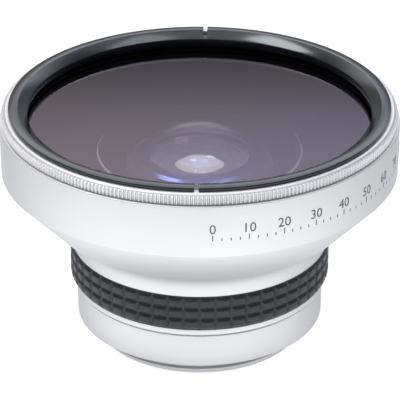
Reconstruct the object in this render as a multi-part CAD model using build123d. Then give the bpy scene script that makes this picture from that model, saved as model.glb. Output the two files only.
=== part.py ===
from build123d import *
import math
import os

# Fisheye converter lens, standing on its rear thread with the front glass up.
# Millimetres, +Z along the optical axis towards the front glass.
# The origin is at the centre of the rear thread's end face.

# Clearances
slip_gap = 0.05            # turned parts that screw or drop into each other, on the radius
thread_running_gap = 0.05  # the long thread between the two sections, on the radius
glass_gap = 0.15           # glass in its metal seat
seam_gap = 0.03            # each side of the seam washer
overrun = 1.0              # how far a cutting tool runs past what it cuts

# Rear mount thread, M37 x 0.75
thread_major_radius = 18.5
thread_pitch = 0.75
thread_depth = 0.46
thread_crest_land = 0.12
thread_root_land = 0.18
thread_length = 3.5
thread_relief = 0.4        # plain neck behind the last ridge
mount_ring_wall = 2.3      # from the thread's crests in to the bore
mount_spigot_step = 0.25   # how much wider than the thread the ring is where it sits in the barrel
mount_spigot_length = 2.1

# Rear barrel, which carries the mount thread and the cemented doublet
section_thread_step = 0.85  # how much wider the front section's thread is than the mount thread
base_wall = 2.25
base_height = 6.0
base_edge = 0.15
base_web = 0.9
collar_top_drop = 0.8      # the inner collar's top, below the barrel's rim
collar_front_gap = 0.65    # between the collar and the front section's spigot
collar_rear_gap = 0.3      # between the collar and the mount ring's bore
collar_skirt_wall = 1.35
collar_flange_height = 0.8
collar_flange_reach = 1.3
rear_pocket_depth = 1.2

# Cemented doublet
doublet_front_curve = 60.0
doublet_cement_curve = 45.0
doublet_rear_curve = 120.0
doublet_front_edge = 0.66
doublet_rear_centre = 1.0
doublet_spacer_height = 0.7
doublet_spacer_width = 0.7
rear_ring_step = 1.0       # how much wider the retaining ring is than the doublet
rear_ring_height = 1.1

# Seam washer
washer_thickness = 0.14
washer_inset = 0.5
washer_width = 1.4

# Front section, from the seam up
lip_step = 0.4
lip_height = 1.15
lip_edge = 0.2
grip_groove_depth = 0.9
grip_groove_height = 6.65
neck_step = 0.4            # the neck's start, out from the lip
neck_land = 0.4
neck_flare = 3.9
neck_height = 5.1
neck_hollow = 0.45         # how far the neck is hollowed below its chord
cone_flare = 7.9
cone_height = 8.5
cone_wall = 2.0
body_height = 9.05
body_edge = 0.15
section_spigot_wall = 1.5
section_spigot_end_gap = 0.45   # from the spigot's end to the web of the rear barrel
barrel_floor = 1.2
cell_bore_wall = 1.65      # barrel wall outside the second cell, under the grip

# Knurled front ring
rim_height = 1.95
knurl_setback = 0.4
knurl_depth = 0.35
knurl_ribs = 310
knurl_height = 1.5
knurl_rise = 0.1           # plain step under the knurl
rim_bevel = 0.3
rim_land = 0.45            # silver left showing between the bevel and the black ring
rim_skirt_length = 4.4
rim_skirt_wall = 1.0
mouth_wall = 1.2           # barrel wall outside the ring's skirt

# Black retaining ring in the mouth
ring_flange_height = 0.6
ring_edge = 0.2
ring_edge_drop = 0.2
ring_slope_width = 0.95    # outer part of the face, which falls away a little
ring_slope_drop = 0.12
ring_flat_width = 1.15
ring_bevel_width = 1.2
ring_bevel_depth = 1.15
ring_wall_height = 1.05
ring_undercut = 0.45
ring_slot_width = 0.75
ring_slot_depth = 1.1
ring_slot_angle = 88.5

# Front element: nearly flat front, deep bowl behind
glass_shelf = 0.6          # step from the ring's skirt in to the glass bore
glass_recess = 2.8         # from the ring's top down to the glass where the ring meets it
glass_front_curve = 3000.0
glass_centre = 3.4
glass_edge = 0.3
seat_rise = 0.7            # the seat behind the glass, above the crease
bowl_land = 2.8            # flat glass between the bowl's rim and the cell bore
gasket_thickness = 0.3
gasket_width = 2.4
gasket_setback = 1.35      # from the glass's back edge in to the gasket

# Second lens cell and what it holds
cell_shelf = 0.95          # how much wider the bore for the cell's flange is
cell_flange_height = 2.4
cell_drop = 0.2            # cell's front face, below the gasket seat
cell_wall = 5.35           # around the second lens
cell_nose_height = 2.8     # the nose stands up into the front glass's bowl
cell_nose_gap = 0.5        # from the nose's edge out to the bowl
second_centre = 1.35
second_front_curve = 80.0
second_rear_depth = 4.4
second_front_land = 2.0
second_rear_land = 2.5
second_ring_wall = 3.35
second_ring_height = 1.25
second_ring_drop = 0.15
second_ring_step = 0.75    # how much wider the ring is than the glass
second_slot_width = 1.0
second_slot_depth = 0.5
shim_thickness = 0.25
shim_width = 1.4
cell_web = 1.0
stop_wall = 3.45           # cell wall around the stop and the baffle's thread
stop_hole_radius = 7.8
stop_thickness = 0.25
baffle_thread_length = 1.3
baffle_end_gap = 0.74      # from the baffle down to the collar of the rear barrel
baffle_step = 0.6
baffle_wall = 1.7
baffle_ridges = 7
baffle_ridge_depth = 0.8

# Rubber grip
tape_thickness = 0.12
grip_end_gap = 0.05
grip_skin = 0.78           # rubber under the valleys between the studs
grip_stud_height = 0.75
grip_rows = 3
grip_columns = 52
grip_border = 0.25

# Radii, stepped out from the mount thread to the body
mount_bore_radius = thread_major_radius - mount_ring_wall
mount_spigot_radius = thread_major_radius + mount_spigot_step
section_thread_radius = thread_major_radius + section_thread_step
base_radius = section_thread_radius + base_wall
lip_radius = base_radius + lip_step
grip_groove_radius = lip_radius - grip_groove_depth
neck_radius = lip_radius + neck_step
crease_radius = neck_radius + neck_flare
body_radius = crease_radius + cone_flare
grip_valley_radius = grip_groove_radius + tape_thickness + grip_skin
grip_peak_radius = grip_valley_radius + grip_stud_height

# Radii inside the rear barrel
spigot_radius = section_thread_radius - thread_running_gap
spigot_bore_radius = spigot_radius - section_spigot_wall
collar_radius = spigot_bore_radius - collar_front_gap
collar_skirt_radius = mount_bore_radius - collar_rear_gap
rear_ring_radius = collar_skirt_radius - collar_skirt_wall - slip_gap
doublet_radius = rear_ring_radius - rear_ring_step
collar_bore_radius = doublet_radius + slip_gap

# Radii inside the front barrel's neck
body_bore_radius = grip_groove_radius - cell_bore_wall
cell_radius = body_bore_radius - slip_gap
cell_bore_radius = body_bore_radius + cell_shelf
second_pocket_radius = cell_radius - cell_wall
second_radius = second_pocket_radius - slip_gap
stop_pocket_radius = cell_radius - stop_wall
stop_radius = stop_pocket_radius - slip_gap
bowl_radius = cell_bore_radius - bowl_land

# Radii at the mouth
mouth_bore_radius = body_radius - mouth_wall
skirt_radius = mouth_bore_radius - slip_gap
skirt_bore_radius = skirt_radius - rim_skirt_wall
ring_thread_radius = skirt_bore_radius - slip_gap
glass_bore_radius = skirt_bore_radius - glass_shelf
glass_radius = glass_bore_radius - glass_gap
knurl_crest_radius = body_radius - knurl_setback
knurl_root_radius = knurl_crest_radius - knurl_depth
ring_flange_radius = knurl_root_radius - rim_bevel - rim_land
ring_flat_radius = ring_flange_radius - ring_slope_width
ring_bevel_radius = ring_flat_radius - ring_flat_width
ring_mouth_radius = ring_bevel_radius - ring_bevel_width
glass_land_radius = ring_mouth_radius + ring_undercut

# Heights, stacked from the thread's end face
base_bottom_z = thread_length
mount_seat_z = base_bottom_z + mount_spigot_length + slip_gap
web_z = mount_seat_z + base_web
base_top_z = base_bottom_z + base_height
washer_z = base_top_z + seam_gap
lip_z = washer_z + washer_thickness + seam_gap
groove_z = lip_z + lip_height
groove_top_z = groove_z + grip_groove_height
neck_z = groove_top_z + neck_land
crease_z = neck_z + neck_height
shoulder_z = crease_z + cone_height
body_top_z = shoulder_z + body_height
rim_top_z = body_top_z + rim_height
ring_top_z = rim_top_z + slip_gap + ring_flange_height
spigot_bottom_z = web_z + section_spigot_end_gap
skirt_z = body_top_z - rim_skirt_length


def sag(curve, radius):
    return curve - math.sqrt(curve * curve - radius * radius)


def curve_of(depth, radius):
    """The radius of curvature of a dish of that depth and rim radius."""
    return (radius * radius + depth * depth) / (2 * depth)


# Heights of the front glass and of what lies under it
crown_z = ring_top_z - glass_recess + sag(glass_front_curve, glass_land_radius)
seat_z = crease_z + seat_rise
glass_back_z = seat_z + gasket_thickness
bowl_top_z = crown_z - glass_centre
bowl_curve = curve_of(bowl_top_z - glass_back_z, bowl_radius)
bowl_centre_z = bowl_top_z - bowl_curve
cell_top_z = seat_z - cell_drop
cell_step_z = cell_top_z - cell_flange_height
nose_top_z = cell_top_z + cell_nose_height
nose_radius = math.sqrt(bowl_curve ** 2 - (nose_top_z - bowl_centre_z) ** 2) - cell_nose_gap
second_ring_top_z = nose_top_z - second_ring_drop
second_top_z = second_ring_top_z - second_ring_height
second_front_z = second_top_z - sag(second_front_curve, second_radius - second_front_land)
second_rear_z = second_front_z - second_centre
second_bottom_z = second_rear_z - second_rear_depth
second_seat_z = second_bottom_z - shim_thickness
stop_top_z = second_seat_z - cell_web
baffle_top_z = stop_top_z - stop_thickness
cell_bottom_z = baffle_top_z - baffle_thread_length - slip_gap

# Heights of the doublet, hung from the flange of the collar
collar_top_z = base_top_z - collar_top_drop
baffle_bottom_z = collar_top_z + baffle_end_gap
spacer_top_z = collar_top_z - collar_flange_height
doublet_rim_z = spacer_top_z - doublet_spacer_height
doublet_edge_drop = sag(doublet_front_curve, doublet_radius)
doublet_crown_z = doublet_rim_z + sag(doublet_front_curve, doublet_radius - doublet_spacer_width)
cement_rim_z = doublet_crown_z - doublet_edge_drop - doublet_front_edge
cement_centre_z = cement_rim_z - sag(doublet_cement_curve, doublet_radius)
doublet_rear_z = cement_centre_z - doublet_rear_centre
doublet_rear_rim_z = doublet_rear_z + sag(doublet_rear_curve, doublet_radius)
rear_ring_top_z = doublet_rear_z + sag(doublet_rear_curve, doublet_radius - doublet_spacer_width)
collar_bottom_z = rear_ring_top_z - rear_pocket_depth


def at(radius, height):
    return (radius, 0, height)


def turned(*corners):
    """A solid of revolution with a straight-sided outline."""
    outline = Polyline(*[at(r, z) for r, z in corners], close=True)
    return revolve(make_face(outline), Axis.Z)


def turned_outline(*edges):
    """A solid of revolution whose outline has curved sides."""
    return revolve(make_face(Wire(edges)), Axis.Z)


def straight(*corners):
    """The straight edges that join the given corners."""
    points = [at(r, z) for r, z in corners]
    return [Line(a, b) for a, b in zip(points, points[1:])]


def surface(centre_z, curve, inner, outer, upwards):
    """The section of a lens surface from one radius to another; upwards bulges to +Z."""
    sign = -1 if upwards else 1
    middle = (inner + outer) / 2
    points = [at(r, centre_z + sign * sag(curve, r)) for r in (inner, middle, outer)]
    return ThreePointArc(*points)


def cone_line(offset):
    """Radius on the outer cone moved inwards by the offset, as a function of height."""
    run = body_radius - crease_radius
    length = math.hypot(run, cone_height)
    shift_r = -cone_height / length * offset
    shift_z = run / length * offset

    def radius_at(z):
        return crease_radius + shift_r + (z - crease_z - shift_z) * run / cone_height

    def height_at(r):
        return crease_z + shift_z + (r - crease_radius - shift_r) * cone_height / run

    return radius_at, height_at


def spanner_slots(angle, width, depth, top_z, inner, outer):
    """Two cutters on one diameter, for a pin spanner."""
    length = outer - inner + 2 * overrun
    middle = (outer + inner) / 2
    cutter = Pos(middle, 0, top_z - depth) * Box(
        length, width, depth + overrun, align=(Align.CENTER, Align.CENTER, Align.MIN))
    return [Rot(0, 0, angle + turn) * cutter for turn in (0, 180)]


def thread_mount_ring():
    root = thread_major_radius - thread_depth
    flank = (thread_pitch - thread_crest_land - thread_root_land) / 2
    ridges = int((thread_length - thread_relief) / thread_pitch)
    start = (thread_length - thread_relief - ridges * thread_pitch) / 2
    corners = [(mount_bore_radius, 0), (root, 0)]
    for i in range(ridges):
        z = start + i * thread_pitch + thread_root_land / 2
        corners += [(root, z), (thread_major_radius, z + flank)]
        corners += [(thread_major_radius, z + flank + thread_crest_land)]
        corners += [(root, z + 2 * flank + thread_crest_land)]
    shelf_z = base_bottom_z - slip_gap
    spigot_top_z = mount_seat_z - slip_gap
    corners += [(root, shelf_z), (mount_spigot_radius, shelf_z), (mount_spigot_radius, spigot_top_z)]
    corners += [(mount_bore_radius, spigot_top_z)]
    return turned(*corners)


def base_barrel():
    mount_bore = mount_spigot_radius + slip_gap
    flange_bore = collar_bore_radius - collar_flange_reach
    ring_bore = rear_ring_radius + slip_gap
    return turned(
        (mount_bore, base_bottom_z), (base_radius - base_edge, base_bottom_z),
        (base_radius, base_bottom_z + base_edge), (base_radius, base_top_z - base_edge),
        (base_radius - base_edge, base_top_z), (section_thread_radius, base_top_z),
        (section_thread_radius, web_z), (collar_radius, web_z), (collar_radius, collar_top_z),
        (flange_bore, collar_top_z), (flange_bore, spacer_top_z),
        (collar_bore_radius, spacer_top_z), (collar_bore_radius, rear_ring_top_z),
        (ring_bore, rear_ring_top_z), (ring_bore, collar_bottom_z),
        (collar_skirt_radius, collar_bottom_z),
        (collar_skirt_radius, mount_seat_z), (mount_bore, mount_seat_z))


def doublet_spacer_ring():
    outer = doublet_radius
    inner = outer - doublet_spacer_width
    return turned(
        (inner, doublet_rim_z), (outer, doublet_rim_z), (outer, spacer_top_z), (inner, spacer_top_z))


def doublet_front_element():
    front = surface(doublet_crown_z, doublet_front_curve, 0, doublet_radius, True)
    back = surface(cement_centre_z, doublet_cement_curve, 0, doublet_radius, False)
    rim = straight((doublet_radius, doublet_crown_z - doublet_edge_drop), (doublet_radius, cement_rim_z))
    return turned_outline(front, *rim, back, *straight((0, cement_centre_z), (0, doublet_crown_z)))


def doublet_rear_element():
    front = surface(cement_centre_z, doublet_cement_curve, 0, doublet_radius, False)
    back = surface(doublet_rear_z, doublet_rear_curve, 0, doublet_radius, False)
    rim = straight((doublet_radius, cement_rim_z), (doublet_radius, doublet_rear_rim_z))
    return turned_outline(front, *rim, back, *straight((0, doublet_rear_z), (0, cement_centre_z)))


def rear_retaining_ring():
    outer = rear_ring_radius
    inner = doublet_radius - doublet_spacer_width
    bottom = rear_ring_top_z - rear_ring_height
    ring = turned((inner, bottom), (outer, bottom), (outer, rear_ring_top_z), (inner, rear_ring_top_z))
    slots = spanner_slots(0, second_slot_width, second_slot_depth, bottom + second_slot_depth, inner, outer)
    below = Pos(0, 0, -overrun)
    return ring - [below * slot for slot in slots]


def seam_washer():
    outer = base_radius - washer_inset
    inner = outer - washer_width
    top = washer_z + washer_thickness
    return turned((inner, washer_z), (outer, washer_z), (outer, top), (inner, top))


def front_barrel():
    inner_radius_at, inner_height_at = cone_line(cone_wall)
    neck_start = at(neck_radius, neck_z)
    neck_end = at(crease_radius, crease_z)
    chord = math.hypot(crease_radius - neck_radius, neck_height)
    hollow = at(
        (neck_radius + crease_radius) / 2 - neck_hollow * neck_height / chord,
        (neck_z + crease_z) / 2 + neck_hollow * (crease_radius - neck_radius) / chord)
    outside_low = straight(
        (spigot_bore_radius, spigot_bottom_z), (spigot_radius, spigot_bottom_z),
        (spigot_radius, lip_z), (lip_radius - lip_edge, lip_z), (lip_radius, lip_z + lip_edge),
        (lip_radius, groove_z), (grip_groove_radius, groove_z), (grip_groove_radius, groove_top_z),
        (neck_radius, groove_top_z), (neck_radius, neck_z))
    outside_high = straight(
        (crease_radius, crease_z), (body_radius, shoulder_z), (body_radius, body_top_z - body_edge),
        (body_radius - body_edge, body_top_z), (mouth_bore_radius, body_top_z))
    inside = straight(
        (mouth_bore_radius, body_top_z), (mouth_bore_radius, skirt_z), (glass_bore_radius, skirt_z),
        (glass_bore_radius, inner_height_at(glass_bore_radius)), (inner_radius_at(seat_z), seat_z),
        (cell_bore_radius, seat_z), (cell_bore_radius, cell_step_z - slip_gap),
        (body_bore_radius, cell_step_z - slip_gap), (body_bore_radius, lip_z + barrel_floor),
        (spigot_bore_radius, lip_z + barrel_floor), (spigot_bore_radius, spigot_bottom_z))
    neck = ThreePointArc(neck_start, hollow, neck_end)
    return turned_outline(*outside_low, neck, *outside_high, *inside)


def grip_tape():
    inner = grip_groove_radius
    outer = inner + tape_thickness
    low = groove_z + grip_border
    high = groove_top_z - grip_border
    return turned((inner, low), (outer, low), (outer, high), (inner, high))


def grip_teeth(height):
    """A toothed bar with one vee tooth for each column of studs."""
    corners = []
    for i in range(2 * grip_columns):
        radius = grip_peak_radius if i % 2 else grip_valley_radius
        turn = math.pi * i / grip_columns
        corners.append((radius * math.cos(turn), radius * math.sin(turn)))
    return extrude(make_face(Polyline(*corners, close=True)), height)


def rubber_grip():
    low = groove_z + grip_end_gap
    height = grip_groove_height - 2 * grip_end_gap
    row = (height - 2 * grip_border) / grip_rows
    teeth = Pos(0, 0, low) * grip_teeth(height)
    rows = [(0, low + grip_border), (grip_valley_radius, low + grip_border)]
    for i in range(grip_rows):
        z = low + grip_border + i * row
        rows += [(grip_peak_radius, z + row / 2), (grip_valley_radius, z + row)]
    rows += [(0, low + grip_border + grip_rows * row)]
    studs = teeth & turned(*rows)
    sleeve = Pos(0, 0, low) * Cylinder(
        grip_valley_radius, height, align=(Align.CENTER, Align.CENTER, Align.MIN))
    bore = Pos(0, 0, low - overrun) * Cylinder(
        grip_groove_radius + tape_thickness, height + 2 * overrun,
        align=(Align.CENTER, Align.CENTER, Align.MIN))
    return studs + sleeve - bore


def knurled_front_ring():
    root = knurl_root_radius
    bevel_z = rim_top_z - rim_bevel
    ring = turned(
        (skirt_bore_radius, skirt_z + slip_gap), (skirt_radius, skirt_z + slip_gap),
        (skirt_radius, body_top_z), (root, body_top_z), (root, bevel_z),
        (root - rim_bevel, rim_top_z), (skirt_bore_radius, rim_top_z))
    corners = []
    for i in range(2 * knurl_ribs):
        radius = knurl_crest_radius if i % 2 else root
        turn = math.pi * i / knurl_ribs
        corners.append((radius * math.cos(turn), radius * math.sin(turn)))
    band = extrude(make_face(Polyline(*corners, close=True)), knurl_height)
    core = Cylinder(skirt_radius, knurl_height, align=(Align.CENTER, Align.CENTER, Align.MIN))
    return ring + Pos(0, 0, body_top_z + knurl_rise) * (band - core)


def front_retaining_ring():
    wall_z = ring_top_z - ring_bevel_depth
    undercut_z = wall_z - ring_wall_height
    flange_z = ring_top_z - ring_flange_height
    bottom_z = crown_z - sag(glass_front_curve, glass_land_radius) + slip_gap
    ring = turned(
        (glass_land_radius, bottom_z), (ring_thread_radius, bottom_z), (ring_thread_radius, flange_z),
        (ring_flange_radius, flange_z), (ring_flange_radius, ring_top_z - ring_slope_drop - ring_edge_drop),
        (ring_flange_radius - ring_edge, ring_top_z - ring_slope_drop), (ring_flat_radius, ring_top_z),
        (ring_bevel_radius, ring_top_z), (ring_mouth_radius, wall_z), (ring_mouth_radius, undercut_z),
        (glass_land_radius, undercut_z))
    slots = spanner_slots(
        ring_slot_angle, ring_slot_width, ring_slot_depth, ring_top_z, ring_mouth_radius, ring_flange_radius)
    return ring - slots


def front_element():
    radius_at, height_at = cone_line(cone_wall + glass_gap)
    land_z = crown_z - sag(glass_front_curve, glass_radius - glass_edge)
    front = surface(crown_z, glass_front_curve, 0, glass_radius - glass_edge, True)
    bowl = surface(bowl_top_z, bowl_curve, 0, bowl_radius, True)
    rim = straight(
        (glass_radius - glass_edge, land_z), (glass_radius, land_z - glass_edge),
        (glass_radius, height_at(glass_radius)), (radius_at(glass_back_z), glass_back_z),
        (bowl_radius, glass_back_z))
    return turned_outline(front, *rim, bowl, *straight((0, bowl_top_z), (0, crown_z)))


def front_gasket():
    radius_at, height_at = cone_line(cone_wall + glass_gap)
    outer = radius_at(glass_back_z) - gasket_setback
    inner = outer - gasket_width
    return turned((inner, seat_z), (outer, seat_z), (outer, glass_back_z), (inner, glass_back_z))


def second_cell():
    flange = cell_bore_radius - slip_gap
    ring_pocket = second_radius + second_ring_step + slip_gap
    web_bore = second_radius - shim_width
    return turned(
        (stop_pocket_radius, cell_bottom_z), (cell_radius, cell_bottom_z), (cell_radius, cell_step_z),
        (flange, cell_step_z), (flange, cell_top_z), (nose_radius, cell_top_z), (nose_radius, nose_top_z),
        (ring_pocket, nose_top_z), (ring_pocket, second_top_z), (second_pocket_radius, second_top_z),
        (second_pocket_radius, second_seat_z), (web_bore, second_seat_z), (web_bore, stop_top_z),
        (stop_pocket_radius, stop_top_z))


def second_retaining_ring():
    outer = second_radius + second_ring_step
    inner = outer - second_ring_wall
    ring = turned(
        (inner, second_top_z), (outer, second_top_z), (outer, second_ring_top_z), (inner, second_ring_top_z))
    return ring - spanner_slots(0, second_slot_width, second_slot_depth, second_ring_top_z, inner, outer)


def second_element():
    front_radius = second_radius - second_front_land
    rear_radius = second_radius - second_rear_land
    rear_curve = curve_of(second_rear_depth, rear_radius)
    front = surface(second_front_z, second_front_curve, 0, front_radius, False)
    rear = surface(second_rear_z, rear_curve, 0, rear_radius, True)
    rim = straight(
        (front_radius, second_top_z), (second_radius, second_top_z),
        (second_radius, second_bottom_z), (rear_radius, second_bottom_z))
    return turned_outline(front, *rim, rear, *straight((0, second_rear_z), (0, second_front_z)))


def second_shim_ring():
    inner = second_radius - shim_width
    return turned(
        (inner, second_seat_z), (second_radius, second_seat_z),
        (second_radius, second_bottom_z), (inner, second_bottom_z))


def aperture_stop():
    return turned(
        (stop_hole_radius, baffle_top_z), (stop_radius, baffle_top_z),
        (stop_radius, stop_top_z), (stop_hole_radius, stop_top_z))


def neck_baffle():
    ridge = (baffle_top_z - baffle_bottom_z) / baffle_ridges
    outer = stop_radius - baffle_step
    bore = outer - baffle_wall
    tip = bore - baffle_ridge_depth
    step_z = baffle_top_z - baffle_thread_length
    corners = [(outer, baffle_bottom_z), (outer, step_z), (stop_radius, step_z), (stop_radius, baffle_top_z)]
    for i in range(baffle_ridges):
        z = baffle_top_z - i * ridge
        corners += [(tip, z), (bore, z - ridge)]
    return turned(*corners)


sub_parts = [
    thread_mount_ring, base_barrel, doublet_spacer_ring, doublet_front_element, doublet_rear_element,
    rear_retaining_ring, seam_washer, front_barrel, grip_tape, rubber_grip, knurled_front_ring,
    front_retaining_ring, front_element, front_gasket, second_cell, second_retaining_ring,
    second_element, second_shim_ring, aperture_stop, neck_baffle]

os.makedirs("parts", exist_ok=True)
for make in sub_parts:
    name = make.__name__
    solid = make()
    solid.label = name
    export_step(solid, "parts/" + name + ".step")
    print(name, round(solid.volume, 1))
print("overall height", round(ring_top_z, 2), "glass back", round(glass_back_z, 2), "web", round(web_z, 2))
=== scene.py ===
import bmesh
import bpy
import math
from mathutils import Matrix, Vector


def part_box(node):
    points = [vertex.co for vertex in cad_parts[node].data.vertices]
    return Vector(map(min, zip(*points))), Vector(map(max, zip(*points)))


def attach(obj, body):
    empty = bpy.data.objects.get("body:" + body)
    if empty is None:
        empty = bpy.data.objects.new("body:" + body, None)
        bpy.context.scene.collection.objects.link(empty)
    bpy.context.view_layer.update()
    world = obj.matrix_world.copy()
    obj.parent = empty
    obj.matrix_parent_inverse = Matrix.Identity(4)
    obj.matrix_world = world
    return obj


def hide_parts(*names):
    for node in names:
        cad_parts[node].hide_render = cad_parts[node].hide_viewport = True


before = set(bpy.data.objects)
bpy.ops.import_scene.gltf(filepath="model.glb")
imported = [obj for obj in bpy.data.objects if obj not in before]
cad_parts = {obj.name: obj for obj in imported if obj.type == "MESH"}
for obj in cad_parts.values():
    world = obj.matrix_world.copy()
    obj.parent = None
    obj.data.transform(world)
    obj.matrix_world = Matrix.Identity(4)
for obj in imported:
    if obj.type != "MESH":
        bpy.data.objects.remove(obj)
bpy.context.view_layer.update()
print("frame loaded:", len(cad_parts), "solids")

mm = 0.001      # every size below is in millimetres


# Camera, where the photographer stood
shot = {"aimX": 0.07, "aimHeight": 24.2, "distance": 410.4, "elevation": 27.32,
        "focalPixels": 2353.0, "frameWidth": 400, "sensor": 36, "nearestSeen": 10}


def makeCamera():
    tilt = math.radians(shot["elevation"])
    aim = Vector((shot["aimX"], 0, shot["aimHeight"])) * mm
    back = Vector((0, -math.cos(tilt), math.sin(tilt))) * shot["distance"] * mm
    bpy.ops.object.camera_add(location=aim + back, rotation=(math.pi / 2 - tilt, 0, 0))
    camera = bpy.context.object
    camera.name = "photoCamera"
    camera.data.sensor_width = shot["sensor"]
    camera.data.lens = shot["focalPixels"] * shot["sensor"] / shot["frameWidth"]
    camera.data.clip_start = shot["nearestSeen"] * mm
    bpy.context.scene.camera = camera


# Light table: white and glowing, with painted shade and painted light in its glow: dimmed beneath the
# part and round the bell, and brightest in front of it, a little to the left
table = {"size": 12000, "white": (0.08, 0.08, 0.082), "glow": 1.0, "under": 0.30, "underEdge": 17.0,
         "paintedPool": 0.78, "poolTurn": -8, "poolFrom": -0.30, "poolTo": 0.85, "bellShadeEdge": 27.5, "blur": 0.1,
         "rough": 0.9, "gloss": 0.1}

# Sky: a dim room, a bright backdrop whose foot fades, and light from above; warmer on the left
sky = {"warm": (1.03, 0.985, 0.97), "cool": (0.95, 0.985, 1.06), "tintWidth": 0.07, "room": 0.35,
       "backdrop": 2.2, "footFrom": 0.345, "footTo": 0.515, "backFrom": 0.25, "backTo": 0.8,
       "above": 1.35, "aboveFrom": 0.70, "aboveTo": 0.92}


def fadeNode(tree, value, start, end, low, high):
    fade = tree.nodes.new("ShaderNodeMapRange")
    fade.interpolation_type = 'SMOOTHSTEP'
    fade.inputs["From Min"].default_value = start
    fade.inputs["From Max"].default_value = end
    fade.inputs["To Min"].default_value = low
    fade.inputs["To Max"].default_value = high
    tree.links.new(value, fade.inputs["Value"])
    return fade.outputs["Result"]


def mathNode(tree, operation, first, second=None):
    node = tree.nodes.new("ShaderNodeMath")
    node.operation = operation
    for socket, value in zip(node.inputs, (first, second)):
        if isinstance(value, (int, float)):
            socket.default_value = value
        elif value:
            tree.links.new(value, socket)
    return node.outputs["Value"]


# Strength of the table's glow, with a painted shadow beneath the part and the bell and a painted bright
# patch in front
def paintedGlowNodes(tree, skin):
    spot = tree.nodes.new("ShaderNodeTexCoord").outputs["Object"]
    reach = tree.nodes.new("ShaderNodeVectorMath")
    reach.operation = 'LENGTH'
    tree.links.new(spot, reach.inputs[0])
    way = tree.nodes.new("ShaderNodeVectorMath")
    way.operation = 'NORMALIZE'
    tree.links.new(spot, way.inputs[0])
    ahead = tree.nodes.new("ShaderNodeVectorMath")
    ahead.operation = 'DOT_PRODUCT'
    turn = math.radians(table["poolTurn"])
    ahead.inputs[1].default_value = (math.sin(turn), -math.cos(turn), 0)
    tree.links.new(way.outputs["Vector"], ahead.inputs[0])
    # painted light: a brighter patch of glow in front of the part, a little to the left
    paintedPool = fadeNode(tree, ahead.outputs["Value"], table["poolFrom"], table["poolTo"], 0, table["paintedPool"])
    # painted shade: beneath the bell the glow lacks the bright patch, and beneath the part it is dimmed
    # further
    bell, edge = table["bellShadeEdge"] * mm, table["underEdge"] * mm
    less, more = 1 - table["blur"], 1 + table["blur"]
    away = reach.outputs["Value"]
    clear = fadeNode(tree, away, bell * less, bell * more, 0, 1)
    under = fadeNode(tree, away, edge * less, edge * more, table["under"], table["glow"])
    total = mathNode(tree, 'ADD', under, mathNode(tree, 'MULTIPLY', paintedPool, clear))
    tree.links.new(total, skin.inputs["Emission Strength"])


def makeTable():
    bpy.ops.object.select_all(action='DESELECT')
    bpy.ops.mesh.primitive_plane_add(size=table["size"] * mm, location=(0, 0, 0))
    top = bpy.context.object
    top.name = "table"
    mat, tree, skin = newFinish("tableAcrylic")
    skin.inputs["Base Color"].default_value = (*table["white"], 1)
    skin.inputs["Roughness"].default_value = table["rough"]
    skin.inputs["Specular IOR Level"].default_value = table["gloss"]
    skin.inputs["Emission Color"].default_value = (1, 1, 1, 1)
    paintedGlowNodes(tree, skin)
    top.data.materials.append(mat)


def makeSky():
    world = bpy.data.worlds.new("studioSky")
    bpy.context.scene.world = world
    world.use_nodes = True
    tree = world.node_tree
    link = tree.links.new
    shade = tree.nodes["Background"]
    seen = tree.nodes.new("ShaderNodeTexCoord").outputs["Generated"]
    split = tree.nodes.new("ShaderNodeSeparateXYZ")
    link(seen, split.inputs["Vector"])
    foot = fadeNode(tree, split.outputs["Z"], sky["footFrom"], sky["footTo"], 0, sky["backdrop"])
    back = fadeNode(tree, split.outputs["Y"], sky["backFrom"], sky["backTo"], 0, 1)
    brightest = sky["room"] + sky["above"]
    above = fadeNode(tree, split.outputs["Z"], sky["aboveFrom"], sky["aboveTo"], sky["room"], brightest)
    link(mathNode(tree, 'ADD', mathNode(tree, 'MULTIPLY', foot, back), above), shade.inputs["Strength"])
    side = tree.nodes.new("ShaderNodeMapRange")
    side.inputs["From Min"].default_value = -sky["tintWidth"]
    side.inputs["From Max"].default_value = sky["tintWidth"]
    tint = tree.nodes.new("ShaderNodeMix")
    tint.data_type = 'RGBA'
    tint.inputs["A"].default_value = (*sky["warm"], 1)
    tint.inputs["B"].default_value = (*sky["cool"], 1)
    link(split.outputs["X"], side.inputs["Value"])
    link(side.outputs["Result"], tint.inputs["Factor"])
    link(tint.outputs["Result"], shade.inputs["Color"])


# Soft boxes, each by its compass side from the front, its height angle and its size
softBoxes = {"distance": 900,
             "left": {"side": -92, "height": 63.5, "wide": 330, "tall": 330, "watts": 3.6},
             "right": {"side": 72, "height": 67.5, "wide": 330, "tall": 330, "watts": 1.1}}


def makeSoftBox(name):
    look = softBoxes[name]
    turn, rise = math.radians(look["side"]), math.radians(look["height"])
    away = Vector((math.sin(turn) * math.cos(rise), -math.cos(turn) * math.cos(rise), math.sin(rise)))
    bpy.ops.object.light_add(type='AREA', location=away * softBoxes["distance"] * mm)
    lamp = bpy.context.object
    lamp.name = name + "SoftBox"
    lamp.rotation_euler = away.to_track_quat('Z', 'Y').to_euler()
    lamp.data.shape = 'RECTANGLE'
    lamp.data.size = look["wide"] * mm
    lamp.data.size_y = look["tall"] * mm
    lamp.data.energy = look["watts"]


# Every finish starts here
def newFinish(name):
    mat = bpy.data.materials.new(name)
    mat.use_nodes = True
    return mat, mat.node_tree, mat.node_tree.nodes["Principled BSDF"]


makeCamera()
makeTable()
makeSky()
makeSoftBox("left")
makeSoftBox("right")
print("camera and studio ready")


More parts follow.
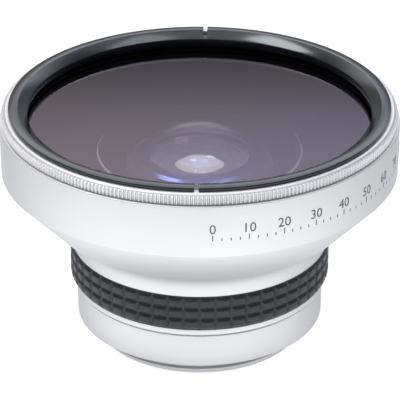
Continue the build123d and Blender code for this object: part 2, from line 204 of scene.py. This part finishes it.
# Finishes. Turned pieces have their fine marks round the axis, the others have an even grain
cloudScale = 90
grainDetail = 2
grainDepth = 0.01
plainGloss = 0.5
finishes = {
    "silverAnodised": {"dark": (0.565, 0.57, 0.585), "light": (0.60, 0.605, 0.62),
                       "rough": (0.48, 0.58), "grain": 7000, "bump": 0.03, "metal": 1, "ior": 1.5,
                       "turned": True, "edgeTint": (0.66, 0.665, 0.68)},
    "blackAnodised": {"dark": (0.006, 0.008, 0.011), "light": (0.010, 0.013, 0.017),
                      "rough": (0.12, 0.20), "grain": 6000, "bump": 0.03, "metal": 0, "ior": 1.5,
                      "turned": True, "edgeTint": (0.86, 0.95, 1.0)},
    "blueBlack": {"dark": (0.004, 0.005, 0.010), "light": (0.007, 0.009, 0.016), "rough": (0.10, 0.16),
                  "grain": 5000, "bump": 0.03, "metal": 0, "ior": 1.9, "turned": True,
                  "edgeTint": (0.22, 0.36, 1.0)},
    "matteBlack": {"dark": (0.010, 0.010, 0.012), "light": (0.020, 0.020, 0.023), "rough": (0.55, 0.70),
                   "grain": 5000, "bump": 0.15, "metal": 0, "ior": 1.5, "turned": True, "gloss": 0.15},
    "edgeLacquer": {"dark": (0.0010, 0.0008, 0.0010), "light": (0.0016, 0.0013, 0.0016),
                    "rough": (0.60, 0.75), "grain": 900, "bump": 0.05, "metal": 0, "ior": 1.5,
                    "turned": False, "gloss": 0.0},
    "printInk": {"dark": (0.045, 0.047, 0.055), "light": (0.075, 0.077, 0.085), "rough": (0.45, 0.60),
                 "grain": 9000, "bump": 0.1, "metal": 0, "ior": 1.5, "turned": False},
    "gripRubber": {"dark": (0.013, 0.015, 0.020), "light": (0.026, 0.029, 0.038), "rough": (0.36, 0.50),
                   "grain": 5200, "bump": 0.25, "metal": 0, "ior": 1.5, "turned": False, "gloss": 0.32},
    "gasketRubber": {"dark": (0.014, 0.014, 0.015), "light": (0.024, 0.024, 0.026),
                     "rough": (0.65, 0.80), "grain": 3000, "bump": 0.3, "metal": 0, "ior": 1.5,
                     "turned": False},
    "adhesiveTape": {"dark": (0.56, 0.50, 0.38), "light": (0.70, 0.64, 0.50), "rough": (0.30, 0.50),
                     "grain": 1400, "bump": 0.4, "metal": 0, "ior": 1.47, "turned": False},
    "slipFilm": {"dark": (0.70, 0.71, 0.72), "light": (0.80, 0.81, 0.82), "rough": (0.30, 0.40),
                 "grain": 2400, "bump": 0.15, "metal": 0, "ior": 1.38, "turned": True},
    "groundGlass": {"dark": (0.50, 0.48, 0.53), "light": (0.62, 0.60, 0.66), "rough": (0.75, 0.90),
                    "grain": 9000, "bump": 0.4, "metal": 0, "ior": 1.5, "turned": False}}


def turnedSpot(tree, spot):
    link = tree.links.new
    flat = tree.nodes.new("ShaderNodeVectorMath")
    flat.operation = 'MULTIPLY'
    flat.inputs[1].default_value = (1, 1, 0)
    far = tree.nodes.new("ShaderNodeVectorMath")
    far.operation = 'LENGTH'
    split = tree.nodes.new("ShaderNodeSeparateXYZ")
    join = tree.nodes.new("ShaderNodeCombineXYZ")
    link(spot, flat.inputs[0])
    link(flat.outputs["Vector"], far.inputs[0])
    link(spot, split.inputs["Vector"])
    link(far.outputs["Value"], join.inputs["X"])
    link(split.outputs["Z"], join.inputs["Y"])
    return join.outputs["Vector"]


def solidFinish(name):
    look = finishes[name]
    mat, tree, skin = newFinish(name)
    link = tree.links.new
    spot = tree.nodes.new("ShaderNodeTexCoord").outputs["Object"]
    marks = tree.nodes.new("ShaderNodeTexNoise")
    marks.inputs["Scale"].default_value = look["grain"]
    marks.inputs["Detail"].default_value = grainDetail
    link(turnedSpot(tree, spot) if look["turned"] else spot, marks.inputs["Vector"])
    clouds = tree.nodes.new("ShaderNodeTexNoise")
    clouds.inputs["Scale"].default_value = cloudScale
    link(spot, clouds.inputs["Vector"])
    tone = tree.nodes.new("ShaderNodeMix")
    tone.data_type = 'RGBA'
    tone.inputs["A"].default_value = (*look["dark"], 1)
    tone.inputs["B"].default_value = (*look["light"], 1)
    link(clouds.outputs["Fac"], tone.inputs["Factor"])
    link(tone.outputs["Result"], skin.inputs["Base Color"])
    rough = tree.nodes.new("ShaderNodeMapRange")
    rough.inputs["To Min"].default_value, rough.inputs["To Max"].default_value = look["rough"]
    link(marks.outputs["Fac"], rough.inputs["Value"])
    link(rough.outputs["Result"], skin.inputs["Roughness"])
    ridge = tree.nodes.new("ShaderNodeBump")
    ridge.inputs["Strength"].default_value = look["bump"]
    ridge.inputs["Distance"].default_value = grainDepth * mm
    link(marks.outputs["Fac"], ridge.inputs["Height"])
    link(ridge.outputs["Normal"], skin.inputs["Normal"])
    skin.inputs["Metallic"].default_value = look["metal"]
    skin.inputs["IOR"].default_value = look["ior"]
    skin.inputs["Specular IOR Level"].default_value = look.get("gloss", plainGloss)
    skin.inputs["Specular Tint"].default_value = (*look.get("edgeTint", (1, 1, 1)), 1)
    return mat


# Coated glass: clear straight on, tinted where it is seen at a slant
slantBlend = 0.35
glassLooks = {
    "coatedGlass": {"ior": 1.45, "straight": (0.985, 0.965, 0.985), "slant": (0.90, 0.84, 0.93),
                    "coat": (0.75, 0.40, 1.0)},
    "bowlGlass": {"ior": 1.45, "straight": (0.985, 0.965, 0.985), "slant": (0.90, 0.84, 0.93),
                  "coat": (0.11, 0.08, 0.13)},
    "innerGlass": {"ior": 1.5, "straight": (0.97, 0.975, 0.99), "slant": (0.86, 0.86, 0.97),
                   "coat": (0.55, 0.62, 1.0)}}


def glassFinish(name):
    look = glassLooks[name]
    mat, tree, skin = newFinish(name)
    facing = tree.nodes.new("ShaderNodeLayerWeight")
    facing.inputs["Blend"].default_value = slantBlend
    tone = tree.nodes.new("ShaderNodeMix")
    tone.data_type = 'RGBA'
    tone.inputs["A"].default_value = (*look["straight"], 1)
    tone.inputs["B"].default_value = (*look["slant"], 1)
    tree.links.new(facing.outputs["Facing"], tone.inputs["Factor"])
    tree.links.new(tone.outputs["Result"], skin.inputs["Base Color"])
    skin.inputs["Roughness"].default_value = 0
    skin.inputs["Transmission Weight"].default_value = 1
    skin.inputs["IOR"].default_value = look["ior"]
    skin.inputs["Specular Tint"].default_value = (*look["coat"], 1)
    return mat


paint = {name: solidFinish(name) for name in finishes}
paint.update({name: glassFinish(name) for name in glassLooks})
print("finishes ready:", len(paint))


# Points nearer than weld are made one, and a height or radius within closeBy of another is the same
weld = 0.0005
closeBy = 0.01

# Angles in degrees below which a surface is shaded smooth, and the softened edges of a piece that names
# no values of its own
smoothGlass = 30
edges = {"count": 2, "angle": 25, "smooth": 38}


# Turned pieces are a list of corners (radius, height), swept round the axis. The height of the foot, the
# height of the top and the outer radius come from the solid's box
def span(node):
    low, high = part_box(node)
    return low.z / mm, high.z / mm, high.x / mm


def startRing(name, radius, height, steps):
    bpy.ops.object.select_all(action='DESELECT')
    bpy.ops.mesh.primitive_circle_add(vertices=steps, radius=radius * mm)
    piece = bpy.context.object
    piece.name = name
    bpy.ops.object.mode_set(mode='EDIT')
    bpy.ops.mesh.select_all(action='SELECT')
    bpy.ops.transform.translate(value=(0, 0, height * mm))
    return piece


def extrudeUp(rise):
    bpy.ops.mesh.extrude_region_move(TRANSFORM_OT_translate={"value": (0, 0, rise)})


def growRing(grow, height):
    bpy.ops.transform.resize(value=(grow, grow, 1), center_override=(0, 0, height * mm))


def pullRing(fromRadius, fromHeight, toRadius, toHeight):
    extrudeUp((toHeight - fromHeight) * mm)
    growRing(toRadius / fromRadius, toHeight)


def closeMesh():
    bpy.ops.mesh.select_all(action='SELECT')
    bpy.ops.mesh.remove_doubles(threshold=weld * mm)
    bpy.ops.mesh.normals_make_consistent(inside=False)
    bpy.ops.object.mode_set(mode='OBJECT')


def turnPiece(name, corners, steps):
    closed = corners[0][0] > 0 and corners[-1][0] > 0
    if corners[0][0] == 0:
        corners = corners[::-1]
    path = corners + corners[:1] if closed else corners
    atCentre = path[0][0] == 0
    piece = startRing(name, *path[1 if atCentre else 0], steps)
    if atCentre:
        extrudeUp((path[0][1] - path[1][1]) * mm)
        bpy.ops.mesh.merge(type='CENTER')
        pickVertices(piece, lambda p: math.hypot(p.x, p.y) > closeBy)
        path = path[1:]
    for (r0, z0), (r1, z1) in zip(path, path[1:]):
        if r1 == 0:
            extrudeUp((z1 - z0) * mm)
            bpy.ops.mesh.merge(type='CENTER')
        else:
            pullRing(r0, z0, r1, z1)
    closeMesh()
    return piece


def pickVertices(piece, wanted):
    shape = bmesh.from_edit_mesh(piece.data)
    for vertex in shape.verts:
        vertex.select = wanted(vertex.co / mm)
    shape.select_flush(True)
    bmesh.update_edit_mesh(piece.data)


def joinTo(piece, *others):
    bpy.ops.object.select_all(action='DESELECT')
    for other in others:
        other.select_set(True)
    piece.select_set(True)
    bpy.context.view_layer.objects.active = piece
    bpy.ops.object.join()


def smoothBelow(degrees):
    bpy.ops.object.shade_smooth_by_angle(angle=math.radians(degrees))


def softenEdges(piece, look):
    edge = piece.modifiers.new("edges", 'BEVEL')
    edge.width = look["edge"] * mm
    edge.segments = look.get("edgeCount", edges["count"])
    edge.limit_method = 'ANGLE'
    edge.angle_limit = math.radians(look.get("edgeAngle", edges["angle"]))
    bpy.ops.object.modifier_apply(modifier=edge.name)
    smoothBelow(look.get("smoothAngle", edges["smooth"]))


# A lens face from one radius to another: with a curve above 0 its middle is the highest point, below 0
# the lowest
def lensArc(centre, curve, inner, outer, count):
    points = []
    for i in range(count + 1):
        r = inner + (outer - inner) * i / count
        drop = abs(curve) - math.sqrt(curve * curve - r * r)
        points.append((r, centre - math.copysign(drop, curve)))
    return points


# A helical thread ridge with tapered, closed ends, whose foot is sunk into the piece that carries it
thread = {"steps": 96, "sunk": 0.05, "least": 0.05, "smooth": 30}


def threadRidge(name, look):
    low, root, crest = look["ridgeLow"], look["root"] - thread["sunk"], look["crest"]
    foot, flat, turns = look["ridgeFoot"], look["ridgeFlat"], look["turns"]
    slope = (foot - flat) / 2
    bpy.ops.object.select_all(action='DESELECT')
    bpy.ops.mesh.primitive_plane_add(size=1)
    ridge = bpy.context.object
    ridge.name = name
    corners = [(root, low), (crest, low + slope), (crest, low + slope + flat), (root, low + foot)]
    inTurn = sorted(ridge.data.vertices, key=lambda v: math.atan2(v.co.y, v.co.x))
    for vertex, (r, z) in zip(inTurn, corners):
        vertex.co = (r * mm, 0, z * mm)
    bpy.ops.object.mode_set(mode='EDIT')
    bpy.ops.mesh.select_all(action='SELECT')
    bpy.ops.mesh.delete(type='ONLY_FACE')
    bpy.ops.object.mode_set(mode='OBJECT')
    wind = ridge.modifiers.new("wind", 'SCREW')
    wind.steps = wind.render_steps = thread["steps"]
    wind.iterations = turns
    wind.screw_offset = look["pitch"] * mm
    bpy.ops.object.modifier_apply(modifier=wind.name)
    top = low + turns * look["pitch"]
    fade = look["fade"] * look["pitch"]
    for vertex in ridge.data.vertices:
        r, z = math.hypot(vertex.co.x, vertex.co.y) / mm, vertex.co.z / mm
        if r > root + closeBy:
            turnLow = math.atan2(vertex.co.y, vertex.co.x) % math.tau / math.tau * look["pitch"]
            lap = round((z - low - foot / 2 - turnLow) / look["pitch"]) * look["pitch"] + turnLow
            keep = max(thread["least"], min(1, lap / fade, (top - low - lap) / fade))
            grow = (root + (r - root) * keep) / r
            vertex.co.x *= grow
            vertex.co.y *= grow
    bpy.ops.object.mode_set(mode='EDIT')
    bpy.ops.mesh.select_all(action='DESELECT')
    bpy.ops.mesh.select_mode(type='EDGE')
    bpy.ops.mesh.select_non_manifold()
    bpy.ops.mesh.fill()
    bpy.ops.mesh.select_mode(type='VERT')
    closeMesh()
    smoothBelow(thread["smooth"])
    return ridge


def place(piece, node, body, slotName, *finishNames):
    for finishName in finishNames:
        piece.data.materials.append(paint[finishName])
    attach(piece, body)
    if node:
        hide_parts(node)


# Base barrel: smooth silver wall, open at the bottom, with the tube that holds the rear pair of lenses
base = {"wallFoot": 3.5, "wallInner": 18.8, "chamfer": 0.15, "socket": 19.35, "socketFloor": 6.55,
        "hub": 17.15, "hubTop": 8.7, "seat": 12.25, "seatLow": 7.9, "bore": 13.55, "boreLow": 3.995,
        "tail": 14.55, "tube": 15.9, "webLow": 5.65, "edge": 0.08, "steps": 288, "blackIn": 0.2,
        "blackOver": 0.1}
low, high, outer = span("base_barrel")
piece = turnPiece("baseBarrel", [
    (base["wallInner"], base["wallFoot"]), (outer - base["chamfer"], base["wallFoot"]),
    (outer, base["wallFoot"] + base["chamfer"]), (outer, high - base["chamfer"]),
    (outer - base["chamfer"], high), (base["socket"], high),
    (base["socket"], base["socketFloor"]), (base["hub"], base["socketFloor"]),
    (base["hub"], base["hubTop"]), (base["seat"], base["hubTop"]), (base["seat"], base["seatLow"]),
    (base["bore"], base["seatLow"]), (base["bore"], base["boreLow"]), (base["tail"], base["boreLow"]),
    (base["tail"], low), (base["tube"], low), (base["tube"], base["webLow"]),
    (base["wallInner"], base["webLow"])], base["steps"])
softenEdges(piece, base)
place(piece, "base_barrel", "rear_section", "silver_anodised", "silverAnodised", "matteBlack")
for face in piece.data.polygons:
    middle = face.center / mm
    inHub = math.hypot(middle.x, middle.y) < base["hub"] - base["blackIn"]
    if inHub and middle.z < base["hubTop"] + base["blackOver"]:
        face.material_index = 1


# Mount ring with its filter thread
mount = {"bore": 16.2, "root": 18.04, "crest": 18.5, "pitch": 0.75, "turns": 3, "ridgeLow": 0.14,
         "ridgeFoot": 0.57, "ridgeFlat": 0.12, "fade": 0.12, "neckTop": 3.45, "lead": 0.12, "edge": 0.05,
         "edgeCount": 1, "steps": 288}
low, high, outer = span("thread_mount_ring")
piece = turnPiece("mountThread", [
    (mount["bore"], low), (mount["root"] - mount["lead"], low), (mount["root"], low + mount["lead"]),
    (mount["root"], mount["neckTop"]), (outer, mount["neckTop"]), (outer, high), (mount["bore"], high)],
    mount["steps"])
softenEdges(piece, mount)
joinTo(piece, threadRidge("mountRidge", mount))
place(piece, "thread_mount_ring", "rear_section", "silver_anodised", "silverAnodised")
print("rear barrel and thread ready")


# Front barrel: spigot, lip, grip groove, hollow neck, cone and body in one turning
bell = {"bore": 17.8, "root": 18.95, "crest": 19.3, "pitch": 0.75, "turns": 3, "ridgeLow": 7.05,
        "ridgeFoot": 0.5, "ridgeFlat": 0.12, "fade": 0.12, "lead": 0.15, "spigotTop": 9.7, "lip": 22.0,
        "lipTop": 10.85, "chamfer": 0.2, "groove": 21.1, "grooveTop": 17.5, "neckFoot": 22.4,
        "neckLow": 17.9, "neckHollow": 0.86,
        "coneFoot": 26.3, "coneLow": 23.0, "shoulder": 31.5, "rimChamfer": 0.12, "rimBore": 33.0,
        "rimFloor": 36.15, "glassBore": 31.35, "glassLow": 31.371, "seat": 24.22, "seatTop": 23.7,
        "cellBore": 20.4, "cellStep": 21.05, "cellWall": 19.45, "boreTop": 10.9, "edge": 0.055,
        "steps": 384, "neckCount": 14, "blackOver": 0.1, "blackIn": -0.01, "blackUp": 0.3}


# Points between the ends of a hollow: a parabola, as far below the chord as hollow says
def neckArc(start, end, hollow, count):
    (r0, z0), (r1, z1) = start, end
    length = math.hypot(r1 - r0, z1 - z0)
    points = []
    for i in range(1, count):
        t = i / count
        bow = 4 * t * (1 - t) * hollow / length
        points.append((r0 + (r1 - r0) * t - bow * (z1 - z0), z0 + (z1 - z0) * t + bow * (r1 - r0)))
    return points


low, high, outer = span("front_barrel")
neckStart = (bell["neckFoot"], bell["neckLow"])
neckEnd = (bell["coneFoot"], bell["coneLow"])
piece = turnPiece("bellBarrel", [
    (bell["bore"], low), (bell["root"] - bell["lead"], low), (bell["root"], low + bell["lead"]),
    (bell["root"], bell["spigotTop"]), (bell["lip"] - bell["chamfer"], bell["spigotTop"]),
    (bell["lip"], bell["spigotTop"] + bell["chamfer"]), (bell["lip"], bell["lipTop"]),
    (bell["groove"], bell["lipTop"]), (bell["groove"], bell["grooveTop"]),
    (bell["neckFoot"], bell["grooveTop"]), neckStart,
    *neckArc(neckStart, neckEnd, bell["neckHollow"], bell["neckCount"]), neckEnd,
    (outer, bell["shoulder"]), (outer, high - bell["rimChamfer"]), (outer - bell["rimChamfer"], high),
    (bell["rimBore"], high), (bell["rimBore"], bell["rimFloor"]), (bell["glassBore"], bell["rimFloor"]),
    (bell["glassBore"], bell["glassLow"]), (bell["seat"], bell["seatTop"]),
    (bell["cellBore"], bell["seatTop"]), (bell["cellBore"], bell["cellStep"]),
    (bell["cellWall"], bell["cellStep"]), (bell["cellWall"], bell["boreTop"]),
    (bell["bore"], bell["boreTop"])], bell["steps"])
softenEdges(piece, bell)
joinTo(piece, threadRidge("spigotRidge", bell))
place(piece, "front_barrel", "front_section", "silver_anodised", "silverAnodised", "matteBlack")
for face in piece.data.polygons:
    middle = face.center / mm
    inMouth = math.hypot(middle.x, middle.y) < bell["glassBore"] + bell["blackOver"]
    if inMouth and middle.z > bell["grooveTop"]:
        inward = face.normal.x * middle.x + face.normal.y * middle.y < bell["blackIn"]
        face.material_index = 1 if inward or face.normal.z > bell["blackUp"] else 0


# Scale on the body: plain numbers with tick marks, in dark ink
scaleMarks = {"from": 3.5, "step": 10.0, "numbers": 9, "numberStep": 10, "between": 3, "fine": 2.5,
              "digitSize": 2.35, "digitCurve": 3, "baseline": 35.7, "tickLow": 34.4, "tickLong": 0.95,
              "tickShort": 0.5, "tickWide": 0.16, "proud": 0.02, "sunk": 0.03}


def laidOnBody(piece, degrees, height, radius):
    turn = math.radians(degrees)
    out = Vector((math.sin(turn), -math.cos(turn), 0)) * (radius - scaleMarks["sunk"]) * mm
    piece.rotation_euler = (math.pi / 2, 0, turn)
    piece.location = out + Vector((0, 0, height * mm))
    bpy.ops.object.transform_apply(location=True, rotation=True, scale=True)


def makeDigit(text, degrees, radius):
    bpy.ops.object.select_all(action='DESELECT')
    bpy.ops.object.text_add()
    digit = bpy.context.object
    digit.data.body = text
    digit.data.size = scaleMarks["digitSize"] * mm
    digit.data.align_x = 'CENTER'
    digit.data.extrude = (scaleMarks["proud"] + scaleMarks["sunk"]) / 2 * mm
    digit.data.resolution_u = scaleMarks["digitCurve"]
    bpy.ops.object.convert(target='MESH')
    digit = bpy.context.object
    bpy.ops.object.mode_set(mode='EDIT')
    bpy.ops.mesh.select_all(action='SELECT')
    bpy.ops.transform.translate(value=(0, 0, digit.dimensions.z / 2))
    closeMesh()
    laidOnBody(digit, degrees, scaleMarks["baseline"], radius)
    return digit


def makeTick(degrees, tall, radius):
    thick = (scaleMarks["proud"] + scaleMarks["sunk"]) * mm
    bpy.ops.object.select_all(action='DESELECT')
    bpy.ops.mesh.primitive_cube_add(size=1)
    tick = bpy.context.object
    tick.scale = (scaleMarks["tickWide"] * mm, tall * mm, thick)
    bpy.ops.object.transform_apply(location=True, rotation=True, scale=True)
    bpy.ops.object.mode_set(mode='EDIT')
    bpy.ops.mesh.select_all(action='SELECT')
    bpy.ops.transform.translate(value=(0, tall / 2 * mm, thick / 2))
    bpy.ops.object.mode_set(mode='OBJECT')
    laidOnBody(tick, degrees, scaleMarks["tickLow"], radius)
    return tick


def makeScale(radius):
    marks = []
    for i in range(scaleMarks["numbers"]):
        degrees = scaleMarks["from"] + i * scaleMarks["step"]
        marks.append(makeDigit(str(i * scaleMarks["numberStep"]), degrees, radius))
        marks.append(makeTick(degrees, scaleMarks["tickLong"], radius))
        if i < scaleMarks["numbers"] - 1:
            for k in range(1, scaleMarks["between"] + 1):
                between = degrees + k * scaleMarks["fine"]
                marks.append(makeTick(between, scaleMarks["tickShort"], radius))
    joinTo(*marks)
    marks[0].name = "bodyScale"
    return marks[0]


piece = makeScale(outer)
place(piece, None, "front_section", "black_lacquered_metal", "printInk")
print("front barrel and its scale ready")


# Knurled front ring
rim = {"wall": 31.95, "skirt": 32.95, "step": 40.53, "base": 33.5, "chamfer": 0.3, "ribs": 310,
       "crest": 33.8, "root": 33.56, "hidden": 33.2, "low": 40.58, "high": 42.15, "ramp": 0.12,
       "lean": 0.02, "ribSmooth": 20, "edge": 0.05, "steps": 384}


def knurlBand():
    ribs, crest, root, hidden = rim["ribs"], rim["crest"], rim["root"], rim["hidden"]
    low, high, ramp, lean = rim["low"], rim["high"], rim["ramp"], rim["lean"]
    corners = 4     # of one rib and the gap beside it

    def onRib(point):
        corner = round(math.atan2(point.y, point.x) / math.tau * corners * ribs) % corners
        return corner < corners / 2

    band = startRing("knurlBand", hidden, low - lean, corners * ribs)
    pullRing(hidden, low - lean, root, low)
    extrudeUp(ramp * mm)
    pickVertices(band, lambda p: abs(p.z - low - ramp) < closeBy and onRib(p))
    growRing(crest / root, low)
    pickVertices(band, lambda p: abs(p.z - low - ramp) < closeBy)
    extrudeUp((high - low - 2 * ramp) * mm)
    extrudeUp(ramp * mm)
    pickVertices(band, lambda p: abs(p.z - high) < closeBy and onRib(p))
    growRing(root / crest, high)
    pickVertices(band, lambda p: abs(p.z - high) < closeBy)
    pullRing(root, high, hidden, high + lean)
    pullRing(hidden, high + lean, hidden, low - lean)
    closeMesh()
    smoothBelow(rim["ribSmooth"])
    return band


low, high, outer = span("knurled_front_ring")
piece = turnPiece("knurledRing", [
    (rim["wall"], low), (rim["skirt"], low), (rim["skirt"], rim["step"]), (rim["base"], rim["step"]),
    (rim["base"], high - rim["chamfer"]), (rim["base"] - rim["chamfer"], high), (rim["wall"], high)],
    rim["steps"])
softenEdges(piece, rim)
joinTo(piece, knurlBand())
place(piece, "knurled_front_ring", "front_section", "silver_anodised", "silverAnodised")


# Black retaining ring with its two spanner slots
blackRing = {"tail": 29.85, "thread": 31.9, "flange": 32.7, "flangeLow": 42.55, "flangeTop": 42.9,
             "crownOuter": 32.6, "crownLow": 43.12, "crown": 31.85, "crownTop": 43.22, "bevelTop": 31.0,
             "bevelHigh": 43.19, "bevelFoot": 29.4, "bevelLow": 42.0, "wallLow": 40.95, "edge": 0.05,
             "slots": (88.1, 269.1), "slotWidth": 0.75, "slotFloor": 42.05, "slotMiddle": 31.2,
             "slotLength": 6, "slotTall": 4, "steps": 384}


def cutSlots(piece, look):
    for degrees in look["slots"]:
        turn = math.radians(degrees)
        bpy.ops.object.select_all(action='DESELECT')
        middle = Vector((math.cos(turn), math.sin(turn), 0)) * look["slotMiddle"] * mm
        middle.z = look["slotFloor"] * mm
        bpy.ops.mesh.primitive_cube_add(size=1, location=middle, rotation=(0, 0, turn))
        cutter = bpy.context.object
        cutter.scale = (look["slotLength"] * mm, look["slotWidth"] * mm, look["slotTall"] * mm)
        cutter.location.z += look["slotTall"] / 2 * mm
        bpy.context.view_layer.objects.active = piece
        cut = piece.modifiers.new("slot", 'BOOLEAN')
        cut.object = cutter
        bpy.context.view_layer.update()
        bpy.ops.object.modifier_apply(modifier=cut.name)
        bpy.data.objects.remove(cutter)


low, high, outer = span("front_retaining_ring")
piece = turnPiece("blackRing", [
    (blackRing["tail"], low), (blackRing["thread"], low), (blackRing["thread"], blackRing["flangeLow"]),
    (blackRing["flange"], blackRing["flangeLow"]), (blackRing["flange"], blackRing["flangeTop"]),
    (blackRing["crownOuter"], blackRing["crownLow"]), (blackRing["crown"], blackRing["crownTop"]),
    (blackRing["bevelTop"], blackRing["bevelHigh"]), (blackRing["bevelFoot"], blackRing["bevelLow"]),
    (blackRing["bevelFoot"], blackRing["wallLow"]), (blackRing["tail"], blackRing["wallLow"])],
    blackRing["steps"])
softenEdges(piece, blackRing)
cutSlots(piece, blackRing)
place(piece, "front_retaining_ring", "front_section", "black_anodised", "blackAnodised")
print("front rings ready")


# Front glass: nearly flat in front, black on its back and side, a deep bowl behind with a ground rim
frontGlass = {"frontEdge": 30.9, "curve": 1235.0, "sideLow": 31.43, "backEdge": 24.294,
              "bowlRim": 17.6, "bowlTop": 37.099, "bowlCurve": 18.374, "ground": 0.28, "lift": 0.01,
              "frontCount": 6, "bowlCount": 36, "steps": 256, "frontSkin": 0.02}
low, high, outer = span("front_element")
front = lensArc(high, frontGlass["curve"], 0, frontGlass["frontEdge"], frontGlass["frontCount"])
back = low + frontGlass["lift"]
clearEdge = frontGlass["bowlRim"] - frontGlass["ground"]
bowl = lensArc(frontGlass["bowlTop"], frontGlass["bowlCurve"], 0, clearEdge, frontGlass["bowlCount"])
edgeDrop = outer - frontGlass["frontEdge"]
piece = turnPiece("frontGlass", [
    *front, (outer, front[-1][1] - edgeDrop), (outer, frontGlass["sideLow"]),
    (frontGlass["backEdge"], back), (frontGlass["bowlRim"], back), *bowl[::-1]], frontGlass["steps"])
smoothBelow(smoothGlass)
place(piece, "front_element", "front_section", "coated_glass",
      "coatedGlass", "edgeLacquer", "groundGlass", "bowlGlass")
for face in piece.data.polygons:
    middle = face.center / mm
    far = math.hypot(middle.x, middle.y)
    if middle.z > front[-1][1] - frontGlass["frontSkin"]:
        face.material_index = 0
    elif far > frontGlass["bowlRim"]:
        face.material_index = 1
    elif far > clearEdge:
        face.material_index = 2
    else:
        face.material_index = 3


# Second glass, hollow on both sides
second = {"frontCentre": 23.995, "frontCurve": -80.0, "frontEdge": 12.0, "frontCount": 10,
          "rearCentre": 22.645, "rearCurve": 17.23, "rearEdge": 11.5, "rearCount": 24,
          "steps": 192, "edgeSkin": 0.1}
low, high, outer = span("second_element")
front = lensArc(
    second["frontCentre"], second["frontCurve"], 0, second["frontEdge"], second["frontCount"])
rear = lensArc(
    second["rearCentre"], second["rearCurve"], 0, second["rearEdge"], second["rearCount"])
piece = turnPiece("secondGlass", [
    *front, (outer, front[-1][1]), (outer, rear[-1][1]), *rear[::-1]], second["steps"])
smoothBelow(smoothGlass)
place(piece, "second_element", "front_section", "inner_glass", "innerGlass", "edgeLacquer")
for face in piece.data.polygons:
    middle = face.center / mm
    if math.hypot(middle.x, middle.y) > outer - second["edgeSkin"]:
        face.material_index = 1


# Ring that holds the second glass: a polished crown that falls outwards, and two slots
cellRing = {"bore": 11.4, "boreTop": 25.55, "crownIn": 11.75, "crownInTop": 26.02, "crown": 12.0,
            "slope": 13.2, "slopeLow": 25.62, "edge": 0.10, "edgeCount": 3, "edgeAngle": 8,
            "slots": (0, 180), "slotWidth": 1.0, "slotFloor": 25.4, "slotMiddle": 13.0,
            "slotLength": 5, "slotTall": 4, "steps": 192}
low, high, outer = span("second_retaining_ring")
piece = turnPiece("secondRing", [
    (cellRing["bore"], low), (outer, low), (outer, cellRing["slopeLow"]),
    (cellRing["slope"], cellRing["slopeLow"]), (cellRing["crown"], high),
    (cellRing["crownIn"], cellRing["crownInTop"]), (cellRing["bore"], cellRing["boreTop"])],
    cellRing["steps"])
softenEdges(piece, cellRing)
cutSlots(piece, cellRing)
place(piece, "second_retaining_ring", "front_section", "black_anodised", "blueBlack")


# Rear pair, with a hair's gap in place of the cement
pair = {"frontCentre": 8.581, "frontCurve": 60.0, "joinCentre": 4.31, "joinCurve": -45.0,
        "backCentre": 3.31, "backCurve": -120.0, "cement": 0.02, "count": 12, "steps": 192}
low, high, outer = span("doublet_front_element")
top = lensArc(pair["frontCentre"], pair["frontCurve"], 0, outer, pair["count"])
joinTop = lensArc(pair["joinCentre"] + pair["cement"] / 2, pair["joinCurve"], 0, outer, pair["count"])
piece = turnPiece("pairFront", [*top, *joinTop[::-1]], pair["steps"])
smoothBelow(smoothGlass)
place(piece, "doublet_front_element", "rear_section", "inner_glass", "innerGlass")
joinLow = lensArc(pair["joinCentre"] - pair["cement"] / 2, pair["joinCurve"], 0, outer, pair["count"])
back = lensArc(pair["backCentre"], pair["backCurve"], 0, outer, pair["count"])
piece = turnPiece("pairRear", [*joinLow, *back[::-1]], pair["steps"])
smoothBelow(smoothGlass)
place(piece, "doublet_rear_element", "rear_section", "inner_glass", "innerGlass")
print("lenses ready")


# Rubber grip with three rows of studs
grip = {"columns": 52, "rows": 3, "inner": 21.22, "valley": 22.28, "border": 0.25, "slope": 0.46,
        "reach": 0.2, "edge": 0.12, "edgeCount": 3, "edgeAngle": 12, "smoothAngle": 60}


def makeGrip():
    low, high, peak = span("rubber_grip")
    border, valley, inner = grip["border"], grip["valley"], grip["inner"]
    piece = startRing("rubberGrip", inner, low, grip["columns"])
    pullRing(inner, low, valley, low)
    pullRing(valley, low, valley, low + border)
    row = (high - low - 2 * border) / grip["rows"]
    for i in range(grip["rows"]):
        z = low + border + i * row
        pullRing(valley, z, valley, z + row)
    pullRing(valley, high - border, valley, high)
    pullRing(valley, high, inner, high)
    pullRing(inner, high, inner, low)
    bpy.ops.mesh.select_all(action='SELECT')
    bpy.ops.mesh.remove_doubles(threshold=weld * mm)
    bpy.ops.mesh.normals_make_consistent(inside=False)
    bpy.ops.mesh.select_mode(type='FACE')
    bpy.ops.mesh.select_all(action='DESELECT')
    shape = bmesh.from_edit_mesh(piece.data)
    for face in shape.faces:
        middle = face.calc_center_median() / mm
        far = math.hypot(middle.x, middle.y)
        onBand = low + border < middle.z < high - border
        face.select = far > valley - grip["reach"] and onBand
    bmesh.update_edit_mesh(piece.data)
    chord = valley * math.cos(math.pi / grip["columns"])
    bpy.ops.mesh.inset(use_individual=True, thickness=grip["slope"] * mm, depth=(peak - chord) * mm)
    bpy.ops.mesh.select_mode(type='VERT')
    bpy.ops.object.mode_set(mode='OBJECT')
    softenEdges(piece, grip)
    return piece


place(makeGrip(), "rubber_grip", "front_section", "grip_rubber", "gripRubber")
print("grip ready")


# The solids that stay get their own finish
kept = {"front_gasket": "gasketRubber", "grip_tape": "adhesiveTape", "seam_washer": "slipFilm"}
for name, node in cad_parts.items():
    if not node.hide_render:
        node.data.materials.clear()
        node.data.materials.append(paint[kept.get(name, "matteBlack")])

bpy.context.scene.view_settings.view_transform = 'Standard'

print("all pieces placed")
